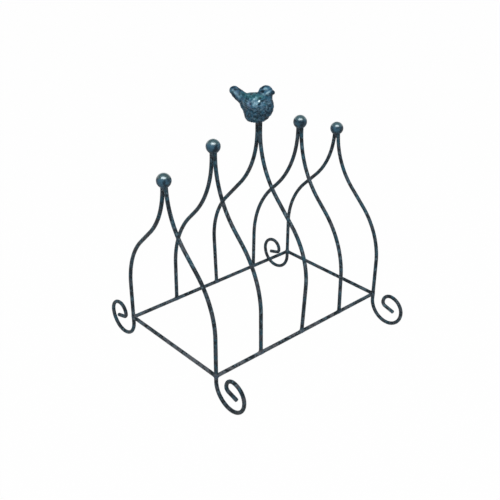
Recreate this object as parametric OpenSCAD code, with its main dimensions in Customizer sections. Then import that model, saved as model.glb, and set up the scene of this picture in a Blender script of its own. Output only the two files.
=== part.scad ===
// Wire toast rack: a welded base rectangle, five ogee arches of two wires each,
// scroll feet bent from the end arch wires, ball finials and a cast bird.
// The origin is on the table under the middle of the rack. +X runs along the side rails,
// -Y is the front, +Z is up.

/* [Base frame] */
// Distance between the two end arches, wire centre to wire centre
rack_length = 170; // [140:1:200]
// Distance between the front and rear side rails, wire centre to wire centre
rack_width = 102; // [94:1:116]
// Diameter of the wire of the side rails and end bars
rail_d = 3; // [2.4:0.1:3.6]
// Diameter of the wire of the arches and scroll feet
wire_d = 3; // [2.4:0.1:3.6]
// Braze seam between the two wires of an arch where they meet
seam_gap = 0.1; // [0.05:0.05:0.3]

/* [End arches] */
// Height above the rails at which the two wires meet
end_meet_h = 128.5; // [120:0.5:140]
// Bend radius of the shoulders
end_shoulder_r = 60; // [45:1:65]
// Bend radius of the neck
end_neck_r = 60; // [45:1:68]
// Slope of the wires between shoulder and neck, from upright
end_slope = 46; // [42:1:49]
// Straight run of the two wires above the point where they meet
end_tip_run = 0.5; // [0.5:0.5:12]

/* [Inner arches] */
// Height above the rails at which the two wires meet
inner_meet_h = 138.5; // [130:0.5:150]
// Bend radius of the shoulders
inner_shoulder_r = 70; // [55:1:75]
// Bend radius of the neck
inner_neck_r = 72; // [55:1:78]
// Slope of the wires between shoulder and neck, from upright
inner_slope = 45; // [41:1:47]
// Inward lean of the legs
inner_lean = 1; // [-4:0.5:3]
// Straight run of the two wires above the point where they meet
inner_tip_run = 4.5; // [1:0.5:14]

/* [Centre arch] */
// Height above the rails at which the two wires meet
centre_meet_h = 147; // [138:0.5:158]
// Bend radius of the shoulders
centre_shoulder_r = 58; // [45:1:66]
// Bend radius of the neck
centre_neck_r = 67; // [50:1:75]
// Slope of the wires between shoulder and neck, from upright
centre_slope = 44; // [40:1:48]
// Inward lean of the legs, negative where they spread outwards
centre_lean = -3; // [-5:0.5:2]
// Straight run of the two wires above the point where they meet
centre_tip_run = 10; // [5:0.5:20]

/* [Scroll feet] */
// Straight drop from the rails to the first bend
foot_drop = 4.6; // [3:0.2:12]
// Bend radius of the first quarter turn
scroll_r = 15.6; // [14:0.2:20]
// How much tighter the second quarter turn is than the first
scroll_step = 1.65; // [1.2:0.05:1.75]
// How fast the later turns tighten; 1 takes off the same at each turn
scroll_quicken = 1.45; // [1.2:0.05:1.5]
// Angle of the last, tightest turn
scroll_last_turn = 75; // [60:1:90]
// Straight tip at the end of the scroll
scroll_tip = 9; // [1:0.5:10]

/* [Ball finials] */
// Diameter of the balls
ball_d = 10.5; // [8:0.5:14]
// Depth of the socket in each ball for the wire tips
ball_socket = 3.5; // [2:0.5:4.5]
// Room around the pair of wires in a finial's socket
socket_gap = 0.2; // [0.15:0.05:0.4]

/* [Bird] */
// Direction that the bird faces, counterclockwise from the right-hand end
bird_heading = -55; // [-180:5:180]
// Length of the body without head and tail
body_l = 20; // [17:0.2:25]
// Width of the body across the breast
body_w = 17.4; // [15:0.2:19]
// Height of the body before its underside is cut flat
body_h = 20; // [18:0.2:25]
// Height of the body's centre above the flat underside
body_seat_h = 10.2; // [8:0.2:11.4]
// Distance that the body's centre lies ahead of the wires
body_lead = 0.3; // [-1:0.1:2]
// Width over the folded wings
wing_span = 19.4; // [17:0.2:22]
// Diameter of the head
head_d = 10.1; // [8:0.1:12]
// Distance from the body's centre to the head's centre
head_reach = 11.5; // [10:0.1:15]
// Rise of the head's centre above straight ahead
head_rise = 66; // [50:1:80]
// Length of the beak beyond the head
beak_l = 1.2; // [1:0.1:5]
// Thickness of the beak at its root
beak_d = 4.6; // [2.5:0.1:6]
// Distance from the body's centre to the centre of the tail's round end
tail_reach = 20.8; // [17:0.2:26]
// Rise of the tail above straight behind
tail_rise = 30; // [20:1:45]
// Thickness of the tail near its end
tail_d = 6.1; // [4.5:0.1:8]
// Distance from the body's centre to the centre of the tail's thick root
tail_root_reach = 8.2; // [6:0.2:14]
// Thickness of the tail's root
tail_root_d = 11; // [8:0.2:14]
// Distance from the body's centre to the end of the feathers under the tail
under_tail_reach = 16.2; // [12:0.2:20]
// Thickness of the feathers under the tail
under_tail_d = 7.2; // [5:0.2:9]
// Distance from the body's centre to the centre of the round rump
rump_reach = 5.4; // [3:0.2:8]
// Diameter of the rump
rump_d = 16.6; // [13:0.2:18]
// Depth of the socket in the underside for the wire tips
bird_socket = 2.6; // [2:0.2:6]

/* [Welds] */
// Radius of the beads between the inner arches and the side rails
rail_weld_r = 2.3; // [2.1:0.1:3]
// Radius of the beads at the four corners
corner_weld_r = 2.6; // [2.4:0.1:3.2]
// Length of the braze fillet under each finial
fillet_l = 3.5; // [2:0.5:6]
// How far the braze spreads beyond the pair of wires at the finial
fillet_spread = 0.6; // [0.3:0.1:1.2]

/* [Hidden] */

$fn = 96;
// Facets of the bent wires: sides of the round section, and how far a chord may leave its bend
WIRE_SIDES = 12;
BEND_TOL = 0.06;
// Cutting shapes reach this far past the faces that they cut
CUT = 1;
// Braze fills the mouth of a ball's socket to this height
MOUTH_FILL = 1;
// Turns in a scroll, each tighter than the one before, down to a bend of this many wire diameters
SCROLL_TURNS = 5;
TIGHTEST_BEND = 1;

rail_r = rail_d / 2;
wire_r = wire_d / 2;
half_l = rack_length / 2;
half_w = rack_width / 2;
pitch = rack_length / 4;
// Height of the rails' centre line: the lowest point of the scrolls touches the table
rail_z = foot_drop + scroll_r + wire_r;
// A rail's end and an inner wire's foot are notched over what they meet, and stop
// this share of its radius short of its centre line
NOTCH = 0.4;
ball_r = ball_d / 2;
// Distance of each wire's centre line from the middle of the arch where they meet
pair_r = wire_r + seam_gap / 2;
socket_r = pair_r + wire_r + socket_gap;

// Kinds of arch: meeting height, shoulder radius, neck radius, slope, lean, tip run
END = [end_meet_h, end_shoulder_r, end_neck_r, end_slope, 0, end_tip_run];
INNER = [inner_meet_h, inner_shoulder_r, inner_neck_r, inner_slope, inner_lean, inner_tip_run];
CENTRE = [centre_meet_h, centre_shoulder_r, centre_neck_r, centre_slope, centre_lean,
    centre_tip_run];

left_end_x = -half_l;
left_inner_x = -pitch;
centre_x = 0;
right_inner_x = pitch;
right_end_x = half_l;
FRONT = -1;
REAR = 1;

PAINT = "#31505c";
CAST_PAINT = "#3c6672";
WELD_PAINT = "#2b4650";

// A place on a wire's path is [outward, up, heading]; heading 0 points outward and 90 up.
// A move is [length] for a straight run or [radius, turn] for a bend; turns to the left
// are positive.
function bend_steps(radius, turn) = ceil(abs(turn) / (2 * acos(1 - BEND_TOL / radius)));

function run_end(at, length) =
    [at[0] + length * cos(at[2]), at[1] + length * sin(at[2]), at[2]];

function bend_point(at, radius, turn) =
    let (h = at[2] + turn, r = radius * sign(turn))
    [at[0] + r * (sin(h) - sin(at[2])), at[1] + r * (cos(at[2]) - cos(h)), h];

function move_points(at, move) =
    len(move) == 1 ? [run_end(at, move[0])] :
    let (steps = bend_steps(move[0], move[1]))
    [for (i = [1:steps]) bend_point(at, move[0], move[1] * i / steps)];

function trail(at, moves, i = 0) =
    i == len(moves) ? [] :
    let (points = move_points(at, moves[i]))
    concat(points, trail(points[len(points) - 1], moves, i + 1));

// Leg length and straight slope that bring an arch's wires together at the meeting height
function arch_runs(kind) =
    let (shoulder = kind[1], neck = kind[2], slope = kind[3], lean = kind[4])
    let (rise = kind[0] - shoulder * (sin(slope) - sin(lean)) - neck * sin(slope))
    let (reach = half_w - pair_r - shoulder * (cos(lean) - cos(slope)) - neck * (1 - cos(slope)))
    [(rise * sin(slope) - reach * cos(slope)) / sin(slope - lean),
     (reach * cos(lean) - rise * sin(lean)) / sin(slope - lean)];

function arch_moves(kind) =
    let (runs = arch_runs(kind))
    [[runs[0]], [kind[1], kind[3] - kind[4]], [runs[1]], [kind[2], -kind[3]], [kind[5]]];

function leg_start(kind) = [half_w, rail_z, 90 + kind[4]];

function scroll_turn_r(i) =
    max(TIGHTEST_BEND * wire_d, scroll_r - scroll_step * pow(i, scroll_quicken));

function foot_moves() = concat([[foot_drop]],
    [for (i = [0:SCROLL_TURNS - 1])
        [scroll_turn_r(i), i < SCROLL_TURNS - 1 ? 90 : scroll_last_turn]],
    [[scroll_tip]]);

function turned_back(path) =
    [for (i = [len(path) - 1:-1:0]) [path[i][0], path[i][1], path[i][2] + 180]];

// An end wire runs from the scroll's tip up past the rails to the top of the arch
function end_wire_path() = concat(
    turned_back(trail([half_w, rail_z, -90], foot_moves())),
    [leg_start(END)],
    trail(leg_start(END), arch_moves(END)));

function inner_wire_path(kind) =
    concat([run_end(leg_start(kind), NOTCH * rail_r)], trail(leg_start(kind), arch_moves(kind)));

function tip_z(kind) = rail_z + kind[0] + kind[5];

function wire_ring(at) =
    [for (j = [0:WIRE_SIDES - 1])
        let (t = 360 * j / WIRE_SIDES, out = wire_r * cos(t))
        [wire_r * sin(t), at[0] - out * sin(at[2]), at[1] + out * cos(at[2])]];

// Triangles of a tube of rings of n points, closed at both ends
function tube_faces(rings, n) = concat(
    [for (k = [0:rings - 2], j = [0:n - 1])
        let (a = k * n + j, b = k * n + (j + 1) % n)
        each [[a, b + n, b], [a, a + n, b + n]]],
    [for (j = [1:n - 2]) [0, j, j + 1]],
    [for (j = [1:n - 2]) let (last = (rings - 1) * n) [last, last + j + 1, last + j]]);

module swept_wire(path) {
    polyhedron([for (at = path) each wire_ring(at)], tube_faces(len(path), WIRE_SIDES));
}

// Puts a wire drawn for the rear half on its arch and its side
module on_arch(x, side) {
    translate([x, 0, 0])
        if (side == REAR) children();
        else mirror([0, 1, 0]) children();
}

module end_wire(x, side) {
    color(PAINT) on_arch(x, side) swept_wire(end_wire_path());
}

module inner_wire(x, side, kind) {
    color(PAINT)
        difference() {
            on_arch(x, side) swept_wire(inner_wire_path(kind));
            rail_bar(side);
        }
}

// Full round bars of the rails, before their ends are notched
module rail_bar(side) {
    length = rack_length - 2 * NOTCH * wire_r;
    translate([-length / 2, side * half_w, rail_z])
        rotate([0, 90, 0]) cylinder(h = length, r = rail_r);
}

// Straight upright of an end wire where the rails meet it
module corner_post(x, side) {
    translate([x, side * half_w, rail_z - foot_drop])
        cylinder(h = foot_drop + arch_runs(END)[0], r = wire_r);
}

module side_rail(side) {
    color(PAINT)
        difference() {
            rail_bar(side);
            corner_post(left_end_x, side);
            corner_post(right_end_x, side);
        }
}

module end_bar(x) {
    length = rack_width - 2 * NOTCH * wire_r;
    color(PAINT)
        difference() {
            translate([x, length / 2, rail_z])
                rotate([90, 0, 0]) cylinder(h = length, r = rail_r);
            for (side = [FRONT, REAR]) {
                corner_post(x, side);
                rail_bar(side);
            }
        }
}

function ball_z(kind) = tip_z(kind) - ball_socket + ball_r;

module ball(x, kind) {
    color(PAINT)
        translate([x, 0, ball_z(kind)])
            difference() {
                sphere(r = ball_r);
                translate([0, 0, -2 * ball_r])
                    cylinder(h = ball_r + ball_socket, r = socket_r);
            }
}

// The bird is one smooth form around its body's centre: in every direction its surface
// lies at the blended reach of an egg-shaped body, a pair of folded wings, and round-ended
// lobes for the head, the tail, the feathers under it, its root and the rump. The bird faces
// +X in its own frame.
BLEND = 12;
BIRD_RINGS = 28;
BIRD_SIDES = 48;
// Rings crowd towards the tail, where the form is slimmest
RING_CROWDING = 1.3;
WING_CENTRE = [-3, 0, 1];
WING_SIZE = [21.8, wing_span, 11.8];
WING_TILT = 20;
// Below the line of the tail lie the feathers under it and its root, and under these the rump
UNDER_DROP = 6;
ROOT_DROP = 17;
RUMP_DROP = 60;
// Lobes of the form: rise from straight ahead, reach, radius, widening
HEAD = [head_rise, head_reach, head_d / 2, 1];
TAIL = [180 - tail_rise, tail_reach, tail_d / 2, 1.2];
MID_TAIL = [180 - tail_rise + UNDER_DROP / 2, (tail_reach + under_tail_reach) / 2,
    (tail_d + under_tail_d) / 4, 1.15];
UNDER_TAIL = [180 - tail_rise + UNDER_DROP, under_tail_reach, under_tail_d / 2, 1.1];
TAIL_ROOT = [180 - tail_rise + ROOT_DROP, tail_root_reach, tail_root_d / 2, 0.9];
RUMP = [180 + RUMP_DROP, rump_reach, rump_d / 2, 0.95];
LOBES = [HEAD, TAIL, MID_TAIL, UNDER_TAIL, TAIL_ROOT, RUMP];

// Reach of a lobe [angle, length, radius, widening] along direction d
function lobe_reach(d, lobe) =
    let (e = [d.x, d.y / lobe[3], d.z], stretch = norm(e))
    let (c = (e * [cos(lobe[0]), 0, sin(lobe[0])]) / stretch, s = sqrt(max(0, 1 - c * c)))
    let (h = lobe[1], r = lobe[2])
    (c <= 0 ? r : r * c <= h * s ? r / s : h * c + sqrt(max(0, r * r - h * h * s * s))) / stretch;

// Reach of an egg of the given size and centre, tilted nose down
function egg_reach(d, size, centre, tilt) =
    let (e = [(d.x * cos(tilt) - d.z * sin(tilt)) / size.x, d.y / size.y,
              (d.x * sin(tilt) + d.z * cos(tilt)) / size.z] * 2)
    let (m = [centre.x / size.x, centre.y / size.y, centre.z / size.z] * 2)
    (e * m + sqrt(pow(e * m, 2) - (e * e) * (m * m - 1))) / (e * e);

function bird_reach(d) =
    let (reaches = concat([egg_reach(d, [body_l, body_w, body_h], [0, 0, 0], 0),
                           egg_reach(d, WING_SIZE, WING_CENTRE, WING_TILT)],
                          [for (lobe = LOBES) lobe_reach(d, lobe)]))
    let (powers = [for (r = reaches) pow(r, BLEND)])
    pow(powers * [for (p = powers) 1], 1 / BLEND);

// Directions ring by ring from the tail's end to the far side of the breast
function bird_direction(polar, turn) =
    let (a = 180 - tail_rise)
    cos(polar) * [cos(a), 0, sin(a)]
    + sin(polar) * (cos(turn) * [-sin(a), 0, cos(a)] + sin(turn) * [0, 1, 0]);

function bird_point(polar, turn) =
    let (d = bird_direction(polar, turn)) bird_reach(d) * d;

function ring_polar(k) = 180 * pow(k / BIRD_RINGS, RING_CROWDING);

module bird_form() {
    rings = BIRD_RINGS - 1;
    n = BIRD_SIDES;
    points = concat(
        [for (k = [1:rings], j = [0:n - 1]) bird_point(ring_polar(k), 360 * j / n)],
        [bird_point(0, 0), bird_point(180, 0)]);
    walls = [for (k = [0:rings - 2], j = [0:n - 1])
        let (a = k * n + j, b = k * n + (j + 1) % n)
        each [[a, b + n, b], [a, a + n, b + n]]];
    caps = [for (j = [0:n - 1])
        let (b = (j + 1) % n, last = (rings - 1) * n)
        each [[rings * n, j, b], [rings * n + 1, last + b, last + j]]];
    polyhedron(points, concat(walls, caps));
}

module beak() {
    root = head_d / 4;
    translate(head_reach * [cos(head_rise), 0, sin(head_rise)])
        rotate([0, 90, 0])
            translate([0, 0, root])
                cylinder(h = head_d / 2 - root + beak_l, r1 = beak_d / 2, r2 = beak_d / 4);
}

bird_z = tip_z(CENTRE) - bird_socket;

module bird() {
    room = body_l + tail_reach + head_reach;
    color(CAST_PAINT)
        translate([centre_x, 0, bird_z])
            difference() {
                rotate(bird_heading)
                    translate([body_lead, 0, body_seat_h]) {
                        bird_form();
                        beak();
                    }
                translate([-room, -room, -2 * room]) cube(2 * room);
                translate([0, 0, -CUT]) cylinder(h = bird_socket + CUT, r = socket_r);
            }
}

// Beads of weld fill the corners where a post, a side rail and an end bar meet
module corner_welds() {
    color(WELD_PAINT)
        for (x = [left_end_x, right_end_x], side = [FRONT, REAR])
            difference() {
                translate([x, side * half_w, rail_z]) sphere(r = corner_weld_r);
                corner_post(x, side);
                rail_bar(side);
                end_bar(x);
            }
}

// Straight foot of an inner wire's leg, long enough to pass through its bead
module leg_foot(x, side, kind) {
    translate([x, side * half_w, rail_z])
        rotate([side * kind[4], 0, 0]) cylinder(h = rail_r + 2 * rail_weld_r, r = wire_r);
}

module rail_weld(x, side, kind) {
    difference() {
        translate([x, side * half_w, rail_z + rail_r]) sphere(r = rail_weld_r);
        rail_bar(side);
        leg_foot(x, side, kind);
    }
}

module rail_welds() {
    color(WELD_PAINT)
        for (side = [FRONT, REAR]) {
            rail_weld(left_inner_x, side, INNER);
            rail_weld(centre_x, side, CENTRE);
            rail_weld(right_inner_x, side, INNER);
        }
}

// Part of a path above height z, from the place just below it
function path_above(path, z) =
    [for (i = [0:len(path) - 1]) if (path[min(i + 1, len(path) - 1)][1] > z) path[i]];

// Braze that runs from a finial's underside down between the two wires
module braze(x, kind, seat_z, rise) {
    foot_z = seat_z - fillet_l;
    difference() {
        translate([x, 0, foot_z])
            cylinder(h = fillet_l + rise, r1 = wire_r, r2 = pair_r + wire_r + fillet_spread);
        for (side = [FRONT, REAR])
            on_arch(x, side) swept_wire(path_above(inner_wire_path(kind), foot_z));
    }
}

module ball_fillet(x, kind) {
    difference() {
        braze(x, kind, tip_z(kind) - ball_socket, MOUTH_FILL);
        ball(x, kind);
    }
}

module finial_fillets() {
    color(WELD_PAINT) {
        ball_fillet(left_end_x, END);
        ball_fillet(left_inner_x, INNER);
        ball_fillet(right_inner_x, INNER);
        ball_fillet(right_end_x, END);
        braze(centre_x, CENTRE, bird_z, 0);
    }
}

side_rail(FRONT);  // front_side_rail
side_rail(REAR);  // rear_side_rail
end_bar(left_end_x);  // left_end_bar
end_bar(right_end_x);  // right_end_bar
end_wire(left_end_x, FRONT);  // left_end_arch_front_wire
end_wire(left_end_x, REAR);  // left_end_arch_rear_wire
inner_wire(left_inner_x, FRONT, INNER);  // left_inner_arch_front_wire
inner_wire(left_inner_x, REAR, INNER);  // left_inner_arch_rear_wire
inner_wire(centre_x, FRONT, CENTRE);  // centre_arch_front_wire
inner_wire(centre_x, REAR, CENTRE);  // centre_arch_rear_wire
inner_wire(right_inner_x, FRONT, INNER);  // right_inner_arch_front_wire
inner_wire(right_inner_x, REAR, INNER);  // right_inner_arch_rear_wire
end_wire(right_end_x, FRONT);  // right_end_arch_front_wire
end_wire(right_end_x, REAR);  // right_end_arch_rear_wire
ball(left_end_x, END);  // left_end_ball
ball(left_inner_x, INNER);  // left_inner_ball
ball(right_inner_x, INNER);  // right_inner_ball
ball(right_end_x, END);  // right_end_ball
bird();
corner_welds();
rail_welds();
finial_fillets();
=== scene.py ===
"""Looks of the toast rack: painted wires bent run by run, weld beads, balls and a cast bird."""
import math
from collections import namedtuple

import bmesh
import bpy
from mathutils import Matrix, Vector, noise


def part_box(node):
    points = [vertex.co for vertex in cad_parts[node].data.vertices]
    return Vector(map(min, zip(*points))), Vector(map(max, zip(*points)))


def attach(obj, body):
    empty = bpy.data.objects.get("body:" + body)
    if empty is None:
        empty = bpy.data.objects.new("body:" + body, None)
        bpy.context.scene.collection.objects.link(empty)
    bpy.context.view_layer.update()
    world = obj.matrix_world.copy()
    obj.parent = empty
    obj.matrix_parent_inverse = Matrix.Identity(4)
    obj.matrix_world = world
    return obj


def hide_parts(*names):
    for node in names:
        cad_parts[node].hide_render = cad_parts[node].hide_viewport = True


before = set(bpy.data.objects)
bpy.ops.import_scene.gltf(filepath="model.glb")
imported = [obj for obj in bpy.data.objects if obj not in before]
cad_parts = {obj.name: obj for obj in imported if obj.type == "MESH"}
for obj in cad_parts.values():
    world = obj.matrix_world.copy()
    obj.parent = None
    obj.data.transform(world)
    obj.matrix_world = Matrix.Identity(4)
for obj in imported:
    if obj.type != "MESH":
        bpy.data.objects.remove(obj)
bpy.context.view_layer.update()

MM = 0.001
UP = Vector((0, 0, 1))
DOWN = -UP
FRONT, REAR = -1, 1

# Bends of one wire of each kind of arch, from the rail to the tip; splay is how much further the
# tip stands from its partner than in the solids
Arch = namedtuple("Arch", "shoulder_r neck_r slope lean tip_run splay")
END_ARCH = Arch(60 * MM, 60 * MM, math.radians(46), 0, 0.5 * MM, 0.35 * MM)
INNER_ARCH = Arch(70 * MM, 72 * MM, math.radians(45), math.radians(1), 4.5 * MM, 0.3 * MM)
CENTRE_ARCH = Arch(58 * MM, 67 * MM, math.radians(44), math.radians(-3), 10 * MM, 0)
ARCHES = {"left_end": END_ARCH, "left_inner": INNER_ARCH, "centre": CENTRE_ARCH,
          "right_inner": INNER_ARCH, "right_end": END_ARCH}

# Scroll feet: the wire drops from the rail and curls outward, each turn tighter than the last
FOOT_DROP = 4.6 * MM
SCROLL_R = 15.6 * MM
SCROLL_STEP = 1.65 * MM
SCROLL_QUICKEN = 1.45
SCROLL_TURNS = (90, 90, 90, 90, 75)
SCROLL_TIP = 9 * MM

# How finely the wires are drawn, and how far their cut ends are filed round, in wire radii
WIRE_SIDES = 20
WIRE_STEP = 1.2 * MM
BEND_STEP = math.radians(6)
CUT_EDGE = 0.3

# How deep the paint film waves, and how often in a metre
FILM_DEPTH = 0.05 * MM
FILM_WAVES = 320

# Places read from the frame: rails, wire gauge and the gap between paired wire tips
rail_low, rail_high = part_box("rear_side_rail")
HALF_WIDTH = (rail_low.y + rail_high.y) / 2
RAIL_Z = (rail_low.z + rail_high.z) / 2
wire_low, wire_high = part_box("left_end_arch_rear_wire")
WIRE_R = (wire_high.x - wire_low.x) / 2
PAIR_R = wire_low.y + WIRE_R
HALF_LENGTH = -(wire_low.x + wire_high.x) / 2


def between(value, low, high):
    """Smooth step from 0 at low to 1 at high; low may be the larger."""
    t = min(1, max(0, (value - low) / (high - low)))
    return t * t * (3 - 2 * t)


# Materials

class Signal:
    """A socket of a finish's nodes; arithmetic on it adds Math nodes."""

    def __init__(self, finish, socket):
        self.finish, self.socket = finish, socket

    def math(self, operation, *terms):
        return self.finish.node("Math", {"operation": operation}, dict(enumerate(terms)))

    def __add__(self, other):
        return self.math("ADD", self, other)

    def __sub__(self, other):
        return self.math("SUBTRACT", self, other)

    def __rsub__(self, other):
        return self.math("SUBTRACT", other, self)

    def __mul__(self, other):
        return self.math("MULTIPLY", self, other)

    __radd__ = __add__
    __rmul__ = __mul__

    def clamped(self):
        return self.finish.node("Clamp", {}, {"Value": self})

    def step(self, low, high):
        return self.finish.node("MapRange", {"interpolation_type": "SMOOTHSTEP"},
                                {"Value": self, "From Min": low, "From Max": high})


class Finish:
    """A material painted over a piece by the piece's own coordinates."""

    def __init__(self, name):
        self.material = bpy.data.materials.new(name)
        self.material.use_nodes = True
        self.tree = self.material.node_tree
        self.shader = self.tree.nodes["Principled BSDF"]

    def feed(self, socket, value):
        if isinstance(value, Signal):
            self.tree.links.new(value.socket, socket)
        else:
            socket.default_value = value

    def node(self, kind, settings, sockets, output=0):
        """Adds a node: its settings first, then the values or links of its sockets."""
        made = self.tree.nodes.new("ShaderNode" + kind)
        for name, value in settings.items():
            setattr(made, name, value)
        for name, value in sockets.items():
            self.feed(made.inputs[name], value)
        return Signal(self, made.outputs[output])

    def noise(self, scale, detail=2, roughness=0.5):
        """Noise over the piece's own coordinates, so many patches to a metre."""
        place = self.node("TexCoord", {}, {}, "Object")
        return self.node("TexNoise", {}, {"Vector": place, "Scale": scale,
                                          "Detail": detail, "Roughness": roughness})

    def attribute(self, name):
        return self.node("Attribute", {"attribute_name": name}, {}, "Fac")

    def blend(self, share, colour, other):
        return self.node("Mix", {"data_type": "RGBA"}, {0: share, 6: colour, 7: other}, 2)

    def bump(self, height, strength, depth):
        return self.node("Bump", {}, {"Height": height, "Strength": strength, "Distance": depth})

    def paint(self, **sockets):
        for name, value in sockets.items():
            self.feed(self.shader.inputs[name.replace("_", " ")], value)

    def seen_directly(self):
        """1 where a camera, mirror or glass ray arrives, 0 for the light that bounces."""
        camera, mirror, glass = [self.node("LightPath", {}, {}, f"Is {ray} Ray")
                                 for ray in ("Camera", "Glossy", "Transmission")]
        return (camera + mirror + glass).clamped()


SOOT = (0.007, 0.015, 0.021, 1)
IRON_GREY = (0.058, 0.068, 0.082, 1)
GREY_PETROL = (0.022, 0.077, 0.111, 1)
SLATE = (0.108, 0.180, 0.220, 1)
SLATE_BLUE = (0.058, 0.100, 0.150, 1)
RAIL_LIGHT_GREY = (0.138, 0.138, 0.150, 1)
DEEP = (0.004, 0.018, 0.032, 1)
PETROL = (0.034, 0.122, 0.198, 1)
GREYED_PETROL = (0.048, 0.122, 0.180, 1)
DUSTY_BLUE = (0.145, 0.245, 0.345, 1)
TEAL = (0.030, 0.155, 0.170, 1)
DUSK = (0.130, 0.190, 0.310, 1)
PALE = (0.280, 0.500, 0.600, 1)
GLINT = (0.780, 0.970, 1.000, 1)

# How much of the paint below it each touch covers where it is strongest
RAIL_LIGHT_COVER, WIRE_WEAR_COVER, TOUCH_UP_COVER = 0.75, 0.8, 0.7
BALL_WEAR_COVER, CAP_SHEEN_COVER = 0.4, 0.5
FLECK_COVER, TINT_COVER = 0.5, 0.8


def wire_enamel():
    """Brushed enamel: sooty pools, worn spots, pale touched-up joints, painted light on rails."""
    finish = Finish("petrol_wire_enamel")
    pools = finish.noise(240, detail=4, roughness=0.6).step(0.42, 0.56)
    worn = finish.noise(400, detail=4, roughness=0.6).step(0.53, 0.65)
    stretches = finish.noise(140, detail=3).step(0.40, 0.60)
    colour = finish.blend(stretches, IRON_GREY, GREY_PETROL)
    # Paler grey painted along the rails as the light that falls on them
    colour = finish.blend(RAIL_LIGHT_COVER * finish.attribute("rail_light"), colour, RAIL_LIGHT_GREY)
    colour = finish.blend(pools, SOOT, colour)
    colour = finish.blend(WIRE_WEAR_COVER * worn, colour, SLATE)
    colour = finish.blend(TOUCH_UP_COVER * finish.attribute("joint"), colour, SLATE_BLUE)
    peel = finish.noise(1500)
    finish.paint(Base_Color=colour, Roughness=0.46 + 0.10 * pools,
                 Normal=finish.bump(peel + 0.6 * worn, strength=0.25, depth=0.12 * MM),
                 Specular_IOR_Level=0.2)
    return finish.material


def ball_enamel():
    """The same enamel flowed out smooth, with gloss and a painted sheen on each ball's cap."""
    finish = Finish("petrol_ball_enamel")
    gloss_and_painted_sheen = finish.attribute("gloss_and_painted_sheen")
    pools = finish.noise(260).step(0.36, 0.64)
    worn = finish.noise(700).step(0.56, 0.74)
    colour = finish.blend(pools, DEEP, GREYED_PETROL)
    colour = finish.blend(BALL_WEAR_COVER * worn, colour, SLATE)
    # A paler teal painted on each ball's cap as sheen
    colour = finish.blend(CAP_SHEEN_COVER * gloss_and_painted_sheen, colour, TEAL)
    finish.paint(Base_Color=colour, Roughness=0.32 + 0.10 * pools,
                 Normal=finish.bump(finish.noise(900), strength=0.12, depth=0.10 * MM),
                 Coat_Weight=gloss_and_painted_sheen, Coat_Roughness=0.3, Coat_IOR=2.25,
                 Metallic=0.4 * gloss_and_painted_sheen, Specular_IOR_Level=0.2)
    return finish.material


def bird_enamel():
    """Cast bird: painted shade in hollows, a green back, painted light and wear on raised parts."""
    finish = Finish("bird_enamel_with_painted_light")
    wear_and_painted_light, tint = finish.attribute("wear_and_painted_light"), finish.attribute("tint")
    pools = finish.noise(360, detail=5, roughness=0.65).step(0.40, 0.57)
    flecks = finish.noise(560, detail=4, roughness=0.6).step(0.46, 0.62)
    colour = finish.blend(pools, DEEP, PETROL)
    colour = finish.blend(FLECK_COVER * flecks, colour, DUSTY_BLUE)
    colour = finish.blend((TINT_COVER * tint).clamped(), colour, TEAL)
    colour = finish.blend((-TINT_COVER * tint).clamped(), colour, DUSK)
    # Painted shade in hollows, wear and painted light on raised parts, then a painted highlight
    colour = finish.blend((0 - wear_and_painted_light).clamped(), colour, DEEP)
    colour = finish.blend((wear_and_painted_light * (0.5 + 0.5 * flecks)).clamped(), colour, PALE)
    colour = finish.blend((wear_and_painted_light - 1).clamped(), colour, GLINT)
    grit = finish.noise(1400, detail=3, roughness=0.6)
    finish.paint(Base_Color=colour, Roughness=0.42 + 0.12 * pools,
                 Normal=finish.bump(grit + flecks, strength=0.3, depth=0.15 * MM),
                 Coat_Weight=0.3 * wear_and_painted_light.clamped(), Coat_Roughness=0.2,
                 Specular_IOR_Level=0.12)
    return finish.material


WIRE_ENAMEL = wire_enamel()
BALL_ENAMEL = ball_enamel()
BIRD_ENAMEL = bird_enamel()


# Shared steps of the pieces

def paint_film(bm):
    """Lets the surface wave inward a little, as brushed paint does."""
    bm.normal_update()
    for v in bm.verts:
        wave = 0.5 + 0.5 * noise.noise(v.co * FILM_WAVES)
        v.co -= v.normal * FILM_DEPTH * wave


def add_object(name, data):
    made = bpy.data.objects.new(name, data)
    bpy.context.scene.collection.objects.link(made)
    return made


def add_smooth_mesh(name, bm, material):
    """Turns a finished bmesh into an object with one material."""
    for face in bm.faces:
        face.smooth = True
    mesh = bpy.data.meshes.new(name)
    bm.to_mesh(mesh)
    bm.free()
    mesh.materials.append(material)
    return add_object(name, mesh)


def add_piece(name, bm, material, node):
    """Turns a finished bmesh into a painted piece that stands for its node."""
    bmesh.ops.recalc_face_normals(bm, faces=bm.faces)
    paint_film(bm)
    piece = add_smooth_mesh(name, bm, material)
    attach(piece, "root")
    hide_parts(node)


def edges_of(geometry):
    return [g for g in geometry if isinstance(g, bmesh.types.BMEdge)]


def verts_of(geometry):
    return [g for g in geometry if isinstance(g, bmesh.types.BMVert)]


def round_off(bm, edges, offset, segments=3):
    bmesh.ops.bevel(bm, geom=edges, offset=offset, segments=segments, profile=0.5,
                    affect="EDGES", material=-1)


def middle_of(node):
    """Centre of a node's box."""
    return Vector([(a + b) / 2 for a, b in zip(*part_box(node))])


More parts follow.
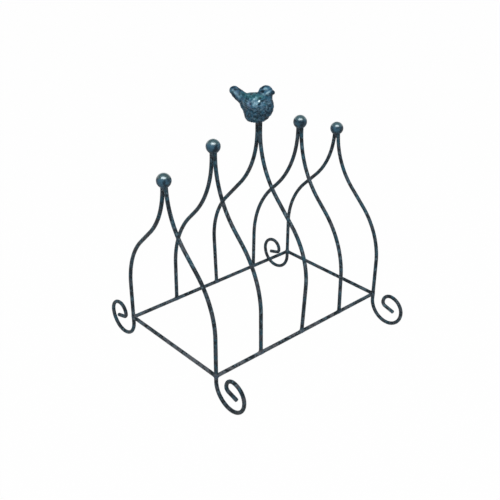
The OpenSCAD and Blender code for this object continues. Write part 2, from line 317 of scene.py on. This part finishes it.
class Wire:
    """A length of round wire, drawn run by run and bend by bend about one axis."""

    def __init__(self, place, heading, axis=None):
        self.bm = bmesh.new()
        self.place, self.heading, self.axis = place.copy(), heading.normalized(), axis
        self.start = self.place.copy()
        turned = UP.rotation_difference(self.heading).to_matrix().to_4x4()
        bmesh.ops.create_circle(self.bm, segments=WIRE_SIDES, radius=WIRE_R,
                                matrix=Matrix.Translation(self.place) @ turned)
        self.ring = self.first_ring = self.bm.verts[:] + self.bm.edges[:]

    def sweep(self, centre, step, angle, steps):
        made = bmesh.ops.spin(self.bm, geom=self.ring, cent=centre, axis=self.axis or UP,
                              dvec=step, angle=angle, steps=steps,
                              use_merge=False, use_duplicate=False)
        self.ring = made["geom_last"]

    def run(self, length):
        steps = math.ceil(length / WIRE_STEP)
        self.sweep(self.place, self.heading * (length / steps), 0, steps)
        self.place += self.heading * length

    def bend(self, radius, turn):
        centre = self.place + self.axis.cross(self.heading) * math.copysign(radius, turn)
        steps = math.ceil(abs(turn) / min(BEND_STEP, WIRE_STEP / radius))
        self.sweep(centre, (0, 0, 0), turn, steps)
        turned = Matrix.Rotation(turn, 3, self.axis)
        self.place = centre + turned @ (self.place - centre)
        self.heading = turned @ self.heading

    def back_to_start(self, heading):
        """Goes on from the first ring, the other way."""
        self.ring, self.place, self.heading = self.first_ring, self.start.copy(), heading

    def cut(self):
        """Closes the end with a cut whose edge is filed round."""
        rim = edges_of(self.ring)
        bmesh.ops.edgeloop_fill(self.bm, edges=rim)
        round_off(self.bm, rim, CUT_EDGE * WIRE_R)


# Base frame

# Painted light on the rails: its strength in the middle of the frame, what it gains to the left
# and to the front, and the heights over the rails' centre line between which it fades out
RAIL_LIGHT_MIDDLE, RAIL_LIGHT_LEFT, RAIL_LIGHT_FRONT = 0.5, 0.3, 0.2
RAIL_LIGHT_FADE = (4.0 * MM, 1.6 * MM)


def paint_rail_light(bm):
    """Paints light on the rails as a paler grey, most at the near left corner."""
    rail_light = bm.verts.layers.float.new("rail_light")
    for v in bm.verts:
        strength = RAIL_LIGHT_MIDDLE - RAIL_LIGHT_LEFT * v.co.x / HALF_LENGTH - RAIL_LIGHT_FRONT * v.co.y / HALF_WIDTH
        v[rail_light] = strength * between(abs(v.co.z - RAIL_Z), *RAIL_LIGHT_FADE)


def add_bar(node, start, heading, length):
    bar = Wire(start, heading)
    bar.run(length)
    bar.cut()
    bar.back_to_start(-heading)
    bar.cut()
    paint_rail_light(bar.bm)
    add_piece(node + "_painted", bar.bm, WIRE_ENAMEL, node)


def add_base_frame():
    """Two rails and two end bars, each from the middle of one corner post to the next."""
    for side, name in ((FRONT, "front"), (REAR, "rear")):
        start = Vector((-HALF_LENGTH, side * HALF_WIDTH, RAIL_Z))
        add_bar(name + "_side_rail", start, Vector((1, 0, 0)), 2 * HALF_LENGTH)
    for x, name in ((-HALF_LENGTH, "left"), (HALF_LENGTH, "right")):
        start = Vector((x, -HALF_WIDTH, RAIL_Z))
        add_bar(name + "_end_bar", start, Vector((0, 1, 0)), 2 * HALF_WIDTH)


# Arches

def arch_runs(arch, rise):
    """Lengths of the leg and of the straight slope that bring the two wires together."""
    rise -= arch.shoulder_r * (math.sin(arch.slope) - math.sin(arch.lean))
    rise -= arch.neck_r * math.sin(arch.slope)
    reach = HALF_WIDTH - PAIR_R - arch.splay
    reach -= arch.shoulder_r * (math.cos(arch.lean) - math.cos(arch.slope))
    reach -= arch.neck_r * (1 - math.cos(arch.slope))
    spread = math.sin(arch.slope - arch.lean)
    leg = (rise * math.sin(arch.slope) - reach * math.cos(arch.slope)) / spread
    slope = (reach * math.cos(arch.lean) - rise * math.sin(arch.lean)) / spread
    return leg, slope


def scroll_foot(wire):
    wire.run(FOOT_DROP)
    for i, turn in enumerate(SCROLL_TURNS):
        wire.bend(SCROLL_R - SCROLL_STEP * i ** SCROLL_QUICKEN, math.radians(turn))
    wire.run(SCROLL_TIP)
    wire.cut()


def add_arch_wire(node, arch, side):
    low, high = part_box(node)
    axis = Vector((side, 0, 0))
    leg_up = Matrix.Rotation(arch.lean, 3, axis) @ UP
    start = Vector((middle_of(node).x, side * HALF_WIDTH, RAIL_Z))
    if arch is END_ARCH:
        wire = Wire(start, DOWN, axis)
        scroll_foot(wire)
        wire.back_to_start(leg_up)
    else:
        wire = Wire(start, leg_up, axis)
    leg, slope = arch_runs(arch, high.z - RAIL_Z - arch.tip_run)
    wire.run(leg)
    wire.bend(arch.shoulder_r, arch.slope - arch.lean)
    wire.run(slope)
    wire.bend(arch.neck_r, -arch.slope)
    wire.run(arch.tip_run)
    wire.cut()
    if arch is not END_ARCH:
        wire.back_to_start(-leg_up)
        wire.cut()
    add_piece(node + "_painted", wire.bm, WIRE_ENAMEL, node)


def add_arches():
    for name, arch in ARCHES.items():
        for side, half in ((FRONT, "front"), (REAR, "rear")):
            add_arch_wire(f"{name}_arch_{half}_wire", arch, side)


# Welds

# A bead's thickness, how far it runs along a bar, and how tightly it fills a corner
BEAD_FILM = 0.2 * MM
BEAD_REACH = 4.0 * MM
BEAD_FILLET = 5
BEAD_FINENESS = 4
# Its lumps: how high, in wire radii, how often in a metre, and how far sunk
LUMP_HEIGHT, LUMP_WAVES, LUMP_SINK = 0.10, 900, 0.5
# Distances from a joint's centre between which the welder's paler touch-up paint fades out
TOUCH_UP = (2.7 * MM, 1.8 * MM)


def bar_reach(direction, bar):
    """How far a bead reaches over one of its bars: a skin that thins out along the bar."""
    along = direction.dot(bar)
    across = math.sqrt(max(0, 1 - along * along))
    if along <= 0:
        return WIRE_R + BEAD_FILM
    covered = (WIRE_R + BEAD_FILM) / (across + BEAD_FILM * along / BEAD_REACH)
    return min(covered, BEAD_REACH / along)


def joint_layer(bm):
    return bm.verts.layers.float.get("joint") or bm.verts.layers.float.new("joint")


def weld_bead(bm, centre, bars):
    """A thin skin over bars that meet, filling the corners between them."""
    skin = (WIRE_R + BEAD_FILM) ** BEAD_FILLET
    joint = joint_layer(bm)
    made = bmesh.ops.create_icosphere(bm, subdivisions=BEAD_FINENESS, radius=1)
    for v in made["verts"]:
        direction = v.co.normalized()
        filled = skin + sum(bar_reach(direction, bar) ** BEAD_FILLET - skin for bar in bars)
        reach = filled ** (1 / BEAD_FILLET)
        lump = noise.noise((centre + direction * reach) * LUMP_WAVES) - LUMP_SINK
        v.co = centre + direction * (reach + LUMP_HEIGHT * lump * WIRE_R)
        v[joint] = between(reach, *TOUCH_UP)


def add_corner_welds():
    bm = bmesh.new()
    for x in (-HALF_LENGTH, HALF_LENGTH):
        for side in (FRONT, REAR):
            inward = [Vector((-math.copysign(1, x), 0, 0)), Vector((0, -side, 0))]
            weld_bead(bm, Vector((x, side * HALF_WIDTH, RAIL_Z)), [UP, DOWN, *inward])
    paint_rail_light(bm)
    add_piece("corner_weld_beads", bm, WIRE_ENAMEL, "corner_welds")


def add_rail_welds():
    bm = bmesh.new()
    for name, arch in ARCHES.items():
        if arch is END_ARCH:
            continue
        x = middle_of(name + "_arch_rear_wire").x
        for side in (FRONT, REAR):
            leg = Matrix.Rotation(arch.lean, 3, Vector((side, 0, 0))) @ UP
            along = [Vector((1, 0, 0)), Vector((-1, 0, 0))]
            weld_bead(bm, Vector((x, side * HALF_WIDTH, RAIL_Z)), [leg, *along])
    paint_rail_light(bm)
    add_piece("rail_weld_beads", bm, WIRE_ENAMEL, "rail_welds")


# Braze

OVAL_SIDES = 32


def lofted(bm, rings, turned=Matrix.Identity(4)):
    """A closed skin through oval rings, each given as its centre, half width and half depth."""
    verts, loops = [], []
    for centre, width, depth in rings:
        oval = Matrix.Translation(centre) @ turned @ Matrix.Diagonal((width, depth, 1, 1))
        ring = bmesh.ops.create_circle(bm, segments=OVAL_SIDES, radius=1, matrix=oval)["verts"]
        loops.append(list(dict.fromkeys(e for v in ring for e in v.link_edges)))
        verts += ring
    for lower, upper in zip(loops, loops[1:]):
        bmesh.ops.bridge_loops(bm, edges=lower + upper)
    for end in (loops[0], loops[-1]):
        bmesh.ops.edgeloop_fill(bm, edges=end)
    return verts


# How far a fillet falls below and rises into the finial, and its half width and half depth at the
# foot and at the top
FILLET_RINGS = 8
FILLET_FALL = 3.5 * MM
FILLET_RISE = 0.6 * MM
FILLET_FOOT = Vector((0.84, 1.88)) * WIRE_R
FILLET_TOP = Vector((1.75, 2.45)) * WIRE_R
FILLET_FLARE = 2.2


def braze_fillet(bm, x, seat_z):
    """Braze that flares from the pair of wires up to the finial's underside."""
    joint = joint_layer(bm)
    rings = []
    for k in range(FILLET_RINGS + 1):
        share = k / FILLET_RINGS
        size = FILLET_FOOT.lerp(FILLET_TOP, share ** FILLET_FLARE)
        z = seat_z - FILLET_FALL + share * (FILLET_FALL + FILLET_RISE)
        rings.append(((x, 0, z), size.x, size.y))
    for v in lofted(bm, rings):
        v[joint] = between(v.co.z, seat_z - FILLET_FALL, seat_z)


# Balls

BALL_SIDES, BALL_RINGS = 56, 40
SOCKET_PLAY = 0.25 * MM
SOCKET_R = 2 * WIRE_R + SOCKET_PLAY
SOCKET_DEPTH = 3.5 * MM
SOCKET_EDGE = 0.25 * MM
# Heights over the ball's centre, in radii, between which the gloss and the painted sheen set in
GLOSS_AND_SHEEN_FROM = (0.38, 0.68)


def add_ball(node):
    """A ball bored from below for the pair of wire tips."""
    low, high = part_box(node)
    radius = (high.x - low.x) / 2
    bm = bmesh.new()
    bmesh.ops.create_uvsphere(bm, u_segments=BALL_SIDES, v_segments=BALL_RINGS, radius=radius)
    mouth = -math.sqrt(radius ** 2 - SOCKET_R ** 2)
    cut = bmesh.ops.bisect_plane(bm, geom=bm.verts[:] + bm.edges[:] + bm.faces[:],
                                 plane_co=(0, 0, mouth), plane_no=UP, clear_inner=True)
    rim = edges_of(cut["geom_cut"])
    bore = bmesh.ops.extrude_edge_only(bm, edges=rim)["geom"]
    bmesh.ops.translate(bm, vec=(0, 0, SOCKET_DEPTH), verts=verts_of(bore))
    bmesh.ops.edgeloop_fill(bm, edges=edges_of(bore))
    round_off(bm, rim, SOCKET_EDGE)
    gloss_and_painted_sheen = bm.verts.layers.float.new("gloss_and_painted_sheen")
    for v in bm.verts:
        v[gloss_and_painted_sheen] = between(v.co.z / radius, *GLOSS_AND_SHEEN_FROM)
    middle = middle_of(node)
    bmesh.ops.translate(bm, vec=(middle.x, middle.y, high.z - radius), verts=bm.verts)
    add_piece(node + "_painted", bm, BALL_ENAMEL, node)


def add_finials():
    bm = bmesh.new()
    for ball in ("left_end_ball", "left_inner_ball", "right_inner_ball", "right_end_ball"):
        add_ball(ball)
        low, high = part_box(ball)
        braze_fillet(bm, middle_of(ball).x, low.z)
    low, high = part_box("bird")
    braze_fillet(bm, 0, low.z)
    add_piece("finial_braze", bm, WIRE_ENAMEL, "finial_fillets")


# Bird, modelled in millimetres around its body's centre, facing +X

BIRD_HEADING = math.radians(-55)
# How far the body's centre leads the wire tips, and how far its flat seat lies below it
BODY_LEAD, SEAT = 0.3, 10.2
# A rounded limb: degrees above straight ahead, length to its end's centre, radius, and its width as
# a share of its height
Lobe = namedtuple("Lobe", "rise reach radius widening")
TAIL_RISE = 30
HEAD = Lobe(66, 11.5, 5.05, 1)
TAIL = Lobe(180 - TAIL_RISE, 20.8, 3.05, 1.2)
MID_TAIL = Lobe(180 - TAIL_RISE + 3, 18.5, 3.325, 1.15)
UNDER_TAIL = Lobe(180 - TAIL_RISE + 6, 16.2, 3.6, 1.1)
TAIL_ROOT = Lobe(180 - TAIL_RISE + 17, 8.2, 5.5, 0.9)
RUMP = Lobe(240, 5.4, 8.3, 0.95)
LOBES = (HEAD, TAIL, MID_TAIL, UNDER_TAIL, TAIL_ROOT, RUMP)
# An egg: length, width and height, centre, and tilt in degrees
Egg = namedtuple("Egg", "size centre tilt")
BODY = Egg((20, 17.4, 20), (0, 0, 0), 0)
WINGS = Egg((21.8, 19.4, 11.8), (-3, 0, 1), 20)
# How tightly the limbs blend, and how finely the form is cut
FORM_BLEND = 12
FORM_FINENESS, REFININGS, LONGEST_EDGE = 5, 3, 0.32


def towards(rise):
    return Vector((math.cos(math.radians(rise)), 0, math.sin(math.radians(rise))))


def lobe_reach(d, lobe):
    e = Vector((d.x, d.y / lobe.widening, d.z))
    stretch = e.length
    c = e.dot(towards(lobe.rise)) / stretch
    s = math.sqrt(max(0, 1 - c * c))
    if c <= 0:
        reach = lobe.radius
    elif lobe.radius * c <= lobe.reach * s:
        reach = lobe.radius / s
    else:
        reach = lobe.reach * c + math.sqrt(max(0, lobe.radius ** 2 - (lobe.reach * s) ** 2))
    return reach / stretch


def egg_reach(d, egg):
    c, s = math.cos(math.radians(egg.tilt)), math.sin(math.radians(egg.tilt))
    e = Vector((d.x * c - d.z * s, d.y, d.x * s + d.z * c))
    e = 2 * Vector([a / b for a, b in zip(e, egg.size)])
    m = 2 * Vector([a / b for a, b in zip(egg.centre, egg.size)])
    em = e.dot(m)
    return (em + math.sqrt(em * em - e.length_squared * (m.length_squared - 1))) / e.length_squared


def bird_reach(d):
    """Distance to the bird's plain form along direction d: its parts blended."""
    reaches = [egg_reach(d, egg) for egg in (BODY, WINGS)]
    reaches += [lobe_reach(d, lobe) for lobe in LOBES]
    return sum(r ** FORM_BLEND for r in reaches) ** (1 / FORM_BLEND)


def draw_out(bm):
    """Moves every point out to the bird's plain form."""
    for v in bm.verts:
        d = v.co.normalized()
        v.co = d * bird_reach(d)


def flatten_seat(bm):
    for v in bm.verts:
        v.co.z = max(v.co.z, -SEAT)


def plain_bird():
    """The blended form with its long edges cut, and a flat seat."""
    bm = bmesh.new()
    bmesh.ops.create_icosphere(bm, subdivisions=FORM_FINENESS, radius=1)
    draw_out(bm)
    for _ in range(REFININGS):
        long = [e for e in bm.edges if e.calc_length() > LONGEST_EDGE]
        bmesh.ops.subdivide_edges(bm, edges=long, cuts=1, use_grid_fill=True,
                                  use_single_edge=True)
        bmesh.ops.triangulate(bm, faces=bm.faces)
        draw_out(bm)
    flatten_seat(bm)
    return bm


# How far a feather's round end covers the next row, in rows
FEATHER_LIP = 0.5


def feathers(row, column):
    """Overlapping round-ended feathers: 0 at a root, 1 at the lip that covers the next row."""
    for r in (math.floor(row) - 1, math.floor(row)):
        across = (column + 0.5 * (r % 2)) % 1 - 0.5
        lip = 1 + FEATHER_LIP * math.sqrt(1 - 4 * across * across)
        if row - r < lip:
            return (row - r) / (1 + FEATHER_LIP)
    return 0


# Places where the casting stands out or dips, on the side of the bird: forward, up, half length,
# half height, tilt, how pale it is by wear and painted light (below 0: how dark, by painted shade
# and darker paint), and greener or bluer tint
Mark = namedtuple("Mark", "x z length height tilt pale tint")
BACK_MARKS = (Mark(-5.0, 8.6, 9.0, 2.2, -2, -0.2, 0.8), Mark(-3.0, 8.3, 0.9, 0.6, 0, -0.35, 0),
              Mark(-6.0, 8.9, 0.9, 0.6, 0, -0.7, 0), Mark(-8.0, 7.0, 0.6, 0.9, 0, -0.9, 0),
              Mark(-6.5, 6.8, 0.7, 0.6, 0, -0.9, 0), Mark(-11.0, 8.4, 0.9, 1.1, 0, -0.45, 0),
              Mark(-11.3, 6.6, 0.9, 1.0, 0, -0.35, 0), Mark(2.6, 8.8, 1.0, 0.9, 0, 0.2, 0.6),
              Mark(-1.7, 9.9, 0.8, 0.5, 0, -0.6, 0), Mark(-9.6, 2.4, 1.0, 2.0, 0, 0.3, -0.3))
# The wing's first two marks, above 1, are painted highlights where the shoulder catches light
WING_MARKS = (Mark(1.4, 5.8, 0.75, 0.65, 10, 1.9, 0), Mark(-2.4, 6.7, 0.8, 0.7, 0, 1.3, 0),
              Mark(-0.9, 7.2, 1.5, 0.8, 0, 0.45, 0.4), Mark(-0.5, 4.2, 2.4, 1.1, 38, 0.8, 0),
              Mark(-2.4, 4.4, 1.0, 1.4, 0, 0.35, 0), Mark(-3.2, 5.5, 0.7, 0.6, 0, 0.6, 0),
              Mark(-5.3, 3.0, 1.3, 2.4, 0, 0.15, -0.9), Mark(-3.9, 1.0, 0.9, 0.9, 0, 0.2, -0.6),
              Mark(-4.1, 6.5, 0.7, 0.5, 0, -0.5, 0), Mark(-4.9, 5.5, 0.7, 0.6, 0, -0.4, 0),
              Mark(-4.5, 4.0, 0.7, 0.7, 0, -0.9, 0), Mark(1.5, 4.0, 0.9, 0.7, 0, -1.2, 0),
              Mark(1.8, 7.5, 0.7, 0.6, 0, -1.0, 0.3), Mark(3.6, 6.1, 1.1, 0.6, 0, -1.0, 0.3),
              Mark(0.3, 6.2, 0.6, 0.6, 0, -0.2, 0), Mark(5.4, 6.8, 1.1, 0.7, 0, -0.5, 0),
              Mark(-5.0, 6.2, 0.9, 0.6, 0, 0.3, 0), Mark(-0.9, 8.0, 1.2, 0.7, 0, 0.25, 0.3))
TAIL_MARKS = (Mark(-15.8, 8.8, 4.4, 0.9, -41, 0.8, -0.1), Mark(-10.2, 4.1, 1.1, 0.9, -30, 0.5, 0),
              Mark(-15.4, 9.0, 1.5, 1.8, 0, 0.1, -0.6), Mark(-13.8, 11.9, 2.6, 0.8, -28, -0.9, 0),
              Mark(-19.3, 13.2, 1.7, 0.7, 0, -0.8, 0), Mark(-17.5, 6.9, 3.0, 0.7, -58, -1.0, 0),
              Mark(-19.4, 10.2, 1.5, 0.9, -55, 0.5, 0.2), Mark(-12.9, 7.4, 1.1, 1.3, -41, 0.3, 0))
# The third head mark, above 1, is a painted highlight from the beak to the cheek
HEAD_MARKS = (Mark(4.7, 14.1, 1.4, 0.9, -5, 0.75, 0.2), Mark(3.4, 10.6, 0.9, 0.6, 0, 0.9, 0.2),
              Mark(6.9, 11.5, 2.0, 0.8, 36, 1.2, -0.4), Mark(4.6, 9.6, 0.9, 0.6, 0, 0.5, 0),
              Mark(7.2, 10.1, 0.8, 0.6, 0, 0.5, -0.3), Mark(3.0, 14.6, 1.6, 0.8, 40, -0.7, 0),
              Mark(8.3, 13.7, 1.0, 0.9, -45, -0.3, 0), Mark(9.3, 11.0, 0.8, 1.2, 0, -0.7, 0))
# Most breast marks are dark: painted shade low on the front of the body
BREAST_MARKS = (Mark(-4.3, -0.4, 0.6, 1.3, 0, -0.6, 0), Mark(0.4, -4.6, 0.8, 1.1, 0, -0.6, 0.2),
                Mark(2.2, -4.0, 0.5, 0.9, 0, -0.6, 0), Mark(6.8, -1.6, 2.4, 0.45, -52, -0.8, 0),
                Mark(8.6, 1.4, 0.9, 1.1, 0, -0.35, 0), Mark(5.4, -3.4, 2.0, 0.4, -48, -0.2, 0),
                Mark(6.0, -7.2, 2.0, 0.9, 42, -1.0, 0), Mark(5.5, 3.9, 1.4, 0.8, 0, 0.1, 0.2),
                Mark(4.6, 2.4, 1.0, 0.8, 0, -0.5, 0), Mark(8.7, -2.2, 3.2, 0.8, 73, -0.5, 0),
                Mark(9.3, 4.2, 2.2, 0.7, 105, -0.8, 0), Mark(0.8, -9.4, 1.6, 0.6, 0, -0.5, 0),
                Mark(-1.0, -7.5, 1.0, 1.6, 0, 0.1, 0.4), Mark(1.6, -7.2, 0.9, 1.4, 0, 0.1, -0.2))
MARKS = BACK_MARKS + WING_MARKS + TAIL_MARKS + HEAD_MARKS + BREAST_MARKS
# Places where the plumage is fuller or flatter than the plain form: vent, throat, nape, back and
# breast
Swell = namedtuple("Swell", "x z length height tilt rise")
SWELLS = (Swell(-12.8, 0.6, 5.5, 1.8, -65, 0.5), Swell(9.0, 5.4, 1.8, 3.0, 0, 0.5),
          Swell(0.2, 12.3, 1.6, 1.6, 0, 0.4), Swell(-8.0, 9.8, 4.5, 1.2, 0, -0.35),
          Swell(5.6, -8.0, 1.5, 1.5, 0, 0.35), Swell(9.9, 1.6, 1.0, 1.6, 0, 0.2))

# Distances from a mark's middle, in its half lengths, between which it sets in
MARK_FADE = (1.5, 0.35)

# Folded wing on the bird's side, from the shoulder to the tip, as (forward, up)
SHOULDER = Vector((3.4, 4.6))
WING_TIP = Vector((-14, 7.6))
WING_HALF_WIDTH, NARROWEST_WING = 4.2, 0.5
# Below 1, the wing is widest nearer the shoulder, and its outline is fuller
WING_FORWARD, WING_FULLNESS = 0.6, 0.8
WING_EDGE = 0.35
# Coverts, the small feathers on the wing's front, and the shares of its length between which they
# give way to quills: so many to half its width, with ridges so square
COVERT_LENGTH, COVERT_WIDTH = 2.4, 2.2
QUILLS_FROM = (0.42, 0.52)
QUILLS, QUILL_SQUARENESS = 2.5, 5
# Distances from the bird's middle plane between which a wing sets in
WING_SIDE = (2.0, 4.0)
WING_RISE, WING_RELIEF, WING_WEAR_AND_SHADE = 0.35, 0.45, 0.6

# The crown is smooth, and feathers set in between these angles from it
PLUMAGE_FROM = (24, 34)
FIRST_ROW, ROW_ANGLE, ROW_FEATHERS = 26, 17, 22
PLUMAGE_RELIEF, PLUMAGE_WEAR_AND_SHADE, CROWN_SINK = 0.40, 0.55, 0.1
# The tail's barbs set in between these distances along it
TAIL_FROM = (11, 14)
BARBS = 3.5
TAIL_LIFT, TAIL_RELIEF, TAIL_GROOVE_SHADE = 0.05, 0.15, 0.15
MARK_RELIEF = 0.22

# The eyes sit in sockets, and eyes and beak are painted dark
EYE = Vector((2.9, 4.6, 12.4))
EYE_R, EYE_INSET = 0.8, 0.35
EYE_SIDES, EYE_RINGS = 20, 14
EYE_SOCKET = (1.3 * EYE_R, 0.8 * EYE_R)
EYE_SOCKET_DEPTH, EYE_SOCKET_SHADE = 0.3, 1.2
EYE_AND_BEAK_SHADE = -0.9


def mark_share(mark, x, z):
    """1 in the middle of a mark or swell, fading to 0 past its oval edge."""
    c, s = math.cos(math.radians(mark.tilt)), math.sin(math.radians(mark.tilt))
    along = ((x - mark.x) * c + (z - mark.z) * s) / mark.length
    across = ((z - mark.z) * c - (x - mark.x) * s) / mark.height
    return between(math.hypot(along, across), *MARK_FADE)


def wing_relief(x, z):
    """Share of the folded wing at a point of the bird's side, and its feathers there."""
    run = WING_TIP - SHOULDER
    rel = Vector((x, z)) - SHOULDER
    along = rel.dot(run) / run.length_squared
    if not 0 < along < 1:
        return 0, 0
    across = (rel.x * run.y - rel.y * run.x) / run.length
    half = WING_HALF_WIDTH * math.sin(math.pi * along ** WING_FORWARD) ** WING_FULLNESS
    share = between(abs(across) - half, WING_EDGE, -WING_EDGE)
    coverts = feathers(along * run.length / COVERT_LENGTH, across / COVERT_WIDTH)
    groove = abs(2 * (across / max(half, NARROWEST_WING) * QUILLS % 1) - 1)
    quills = 1 - groove ** QUILL_SQUARENESS
    return share, coverts + between(along, *QUILLS_FROM) * (quills - coverts)


def bird_relief(p):
    """Height of the relief at a point of the plain form, its wear and painted light, and its tint.
    """
    d = p.normalized()
    from_crown = math.degrees(d.angle(towards(HEAD.rise)))
    around = math.atan2(d.y, d.dot(towards(HEAD.rise - 90))) / math.tau
    body = between(from_crown, *PLUMAGE_FROM)
    plumage = feathers((from_crown - FIRST_ROW) / ROW_ANGLE, around * ROW_FEATHERS) - 0.5
    plumage *= body
    height = PLUMAGE_RELIEF * plumage - CROWN_SINK * (1 - body)
    # Feather lips paled as wear, roots darkened as painted shade under the next row
    wear_and_painted_light, tint = PLUMAGE_WEAR_AND_SHADE * plumage, 0

    wing, pattern = wing_relief(p.x, p.z)
    wing *= between(abs(p.y), *WING_SIDE)
    height += wing * (WING_RISE + WING_RELIEF * (pattern - 0.5) - height)
    # The wing's ridges paled as wear, its grooves darkened as painted shade
    wear_and_painted_light += wing * (WING_WEAR_AND_SHADE * (pattern - 0.5) - wear_and_painted_light)

    tail = between(p.dot(towards(TAIL.rise)), *TAIL_FROM)
    turn = math.atan2(p.y, p.dot(towards(TAIL.rise - 90)))
    barbs = abs(math.sin(BARBS * turn)) - 1
    height += tail * (TAIL_LIFT + TAIL_RELIEF * barbs - height)
    height += sum(swell.rise * mark_share(swell, p.x, p.z) for swell in SWELLS)
    # The tail darkens into the grooves between its barbs, as painted shade
    wear_and_painted_light += tail * (TAIL_GROOVE_SHADE * barbs - wear_and_painted_light)

    # Marks add wear, painted highlights and painted shade
    for mark in MARKS:
        share = mark_share(mark, p.x, p.z)
        height += MARK_RELIEF * share * max(-1, min(1, mark.pale)) * body
        wear_and_painted_light += share * mark.pale
        tint += share * mark.tint

    to_eye = (Vector((p.x, abs(p.y), p.z)) - EYE).length
    socket = between(to_eye, *EYE_SOCKET)
    return height - EYE_SOCKET_DEPTH * socket, wear_and_painted_light - EYE_SOCKET_SHADE * socket, tint


HEAD_CENTRE = HEAD.reach * towards(HEAD.rise)
BEAK_LENGTH, BEAK_ROOT, BEAK_RINGS = 4.2, 2.0, 10
# How far the beak stands out of the head, and how far over the head's centre its root lies
BEAK_SHOWS, BEAK_LIFT = 1.1, 0.4
BEAK_TAPER, BEAK_BLUNTNESS, BEAK_DROOP, BEAK_DEPTH = 0.85, 3, 0.3, 0.8


def add_beak(bm):
    """A short stout beak with a blunt tip."""
    root = HEAD_CENTRE + Vector((HEAD.radius + BEAK_SHOWS - BEAK_LENGTH, 0, BEAK_LIFT))
    rings = []
    for k in range(BEAK_RINGS + 1):
        share = k / BEAK_RINGS
        size = BEAK_ROOT * math.sqrt(1 - BEAK_TAPER * share ** BEAK_BLUNTNESS)
        droop = Vector((share * BEAK_LENGTH, 0, -BEAK_DROOP * share * share))
        rings.append((root + droop, size, BEAK_DEPTH * size))
    return lofted(bm, rings, Matrix.Rotation(math.pi / 2, 4, "Y"))


def add_eyes(bm):
    """Two beads set into the sides of the head."""
    made = []
    for side in (-1, 1):
        eye = bmesh.ops.create_uvsphere(bm, u_segments=EYE_SIDES, v_segments=EYE_RINGS,
                                        radius=EYE_R)["verts"]
        outward = (Vector((EYE.x, side * EYE.y, EYE.z)) - HEAD_CENTRE).normalized()
        place = HEAD_CENTRE + outward * (HEAD.radius - EYE_INSET)
        bmesh.ops.translate(bm, vec=place, verts=eye)
        made += eye
    return made


def add_bird():
    low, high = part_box("bird")
    bm = plain_bird()
    bm.normal_update()
    wear_and_light_layer, tinting = bm.verts.layers.float.new("wear_and_painted_light"), bm.verts.layers.float.new("tint")
    for v in bm.verts:
        height, v[wear_and_light_layer], v[tinting] = bird_relief(v.co)
        if v.co.z > -SEAT:
            v.co += v.normal * height
    flatten_seat(bm)
    for v in add_eyes(bm) + add_beak(bm):
        v[wear_and_light_layer] = EYE_AND_BEAK_SHADE
    seat = Matrix.Translation((0, 0, low.z)) @ Matrix.Rotation(BIRD_HEADING, 4, "Z")
    seat = seat @ Matrix.Scale(MM, 4) @ Matrix.Translation((BODY_LEAD, 0, SEAT))
    bmesh.ops.transform(bm, matrix=seat, verts=bm.verts)
    add_piece("cast_bird", bm, BIRD_ENAMEL, "bird")


# Studio

# The camera's place over the rails' middle, its angles in degrees, and its lens
CAMERA_PLACE = Vector((-344.0, -371.4, 311.5)) * MM + RAIL_Z * UP
CAMERA_TURN, CAMERA_DIP, CAMERA_ROLL = -42.156, 27.31, 0.372
SENSOR = 36
FOCAL_PIXELS, FRAME_PIXELS = 729.81, 500


def add_camera():
    lens = bpy.data.cameras.new("camera")
    lens.sensor_width = SENSOR
    lens.lens = FOCAL_PIXELS / FRAME_PIXELS * SENSOR
    camera = add_object("camera", lens)
    turn = Matrix.Rotation(math.radians(CAMERA_TURN), 4, "Z")
    dip = Matrix.Rotation(math.radians(90 - CAMERA_DIP), 4, "X")
    roll = Matrix.Rotation(math.radians(CAMERA_ROLL), 4, "Z")
    camera.matrix_world = Matrix.Translation(CAMERA_PLACE) @ turn @ dip @ roll
    bpy.context.scene.camera = camera


WHITE = (1, 1, 1, 1)
FLOOR_GREY = (0.45, 0.45, 0.45, 1)
# How white the floor is where it is seen; the rest of it shows light and shadow
FLOOR_GLOW = 0.99
COVE_R, COVE_BEND, COVE_HEIGHT = 3.4, 1.0, 1.8
COVE_SIDES, BEND_SIDES = 96, 12


def add_floor():
    """A white floor that bends up into a wall all round and keeps the rack's soft shadow."""
    bm = bmesh.new()
    bmesh.ops.create_circle(bm, cap_ends=True, segments=COVE_SIDES, radius=COVE_R)
    rim = bm.edges[:]
    wall = bmesh.ops.extrude_edge_only(bm, edges=rim)["geom"]
    bmesh.ops.translate(bm, vec=COVE_HEIGHT * UP, verts=verts_of(wall))
    round_off(bm, rim, COVE_BEND, BEND_SIDES)
    finish = Finish("white_floor")
    finish.paint(Base_Color=FLOOR_GREY, Roughness=1.0, Specular_IOR_Level=0)
    glow = finish.node("Emission", {}, {"Color": WHITE, "Strength": 1})
    lit = Signal(finish, finish.shader.outputs[0])
    share = finish.seen_directly() * FLOOR_GLOW
    mixed = finish.node("MixShader", {}, {0: share, 1: lit, 2: glow})
    finish.feed(finish.tree.nodes["Material Output"].inputs["Surface"], mixed)
    add_smooth_mesh("floor", bm, finish.material)


SOFTBOX_PLACE, SOFTBOX_AIM = Vector((-0.36, -0.42, 1.0)), Vector((0, 0, 0.12))
SOFTBOX_SIZE, SOFTBOX_WATTS = (1.2, 0.5), 11.5
AMBIENT = 0.22


def add_light():
    """A wide softbox high above the rack's near side, in a dim studio."""
    lamp = bpy.data.lights.new("high_softbox", "AREA")
    lamp.shape = "RECTANGLE"
    lamp.size, lamp.size_y = SOFTBOX_SIZE
    lamp.energy = SOFTBOX_WATTS
    facing = (SOFTBOX_AIM - SOFTBOX_PLACE).to_track_quat("-Z", "Y").to_matrix().to_4x4()
    add_object("high_softbox", lamp).matrix_world = Matrix.Translation(SOFTBOX_PLACE) @ facing
    world = bpy.data.worlds.new("studio")
    bpy.context.scene.world = world
    world.use_nodes = True
    background = world.node_tree.nodes["Background"].inputs
    background["Color"].default_value = WHITE
    background["Strength"].default_value = AMBIENT


add_base_frame()
add_arches()
add_corner_welds()
add_rail_welds()
add_finials()
add_bird()
add_camera()
add_floor()
add_light()

bpy.context.scene.view_settings.view_transform = "Standard"
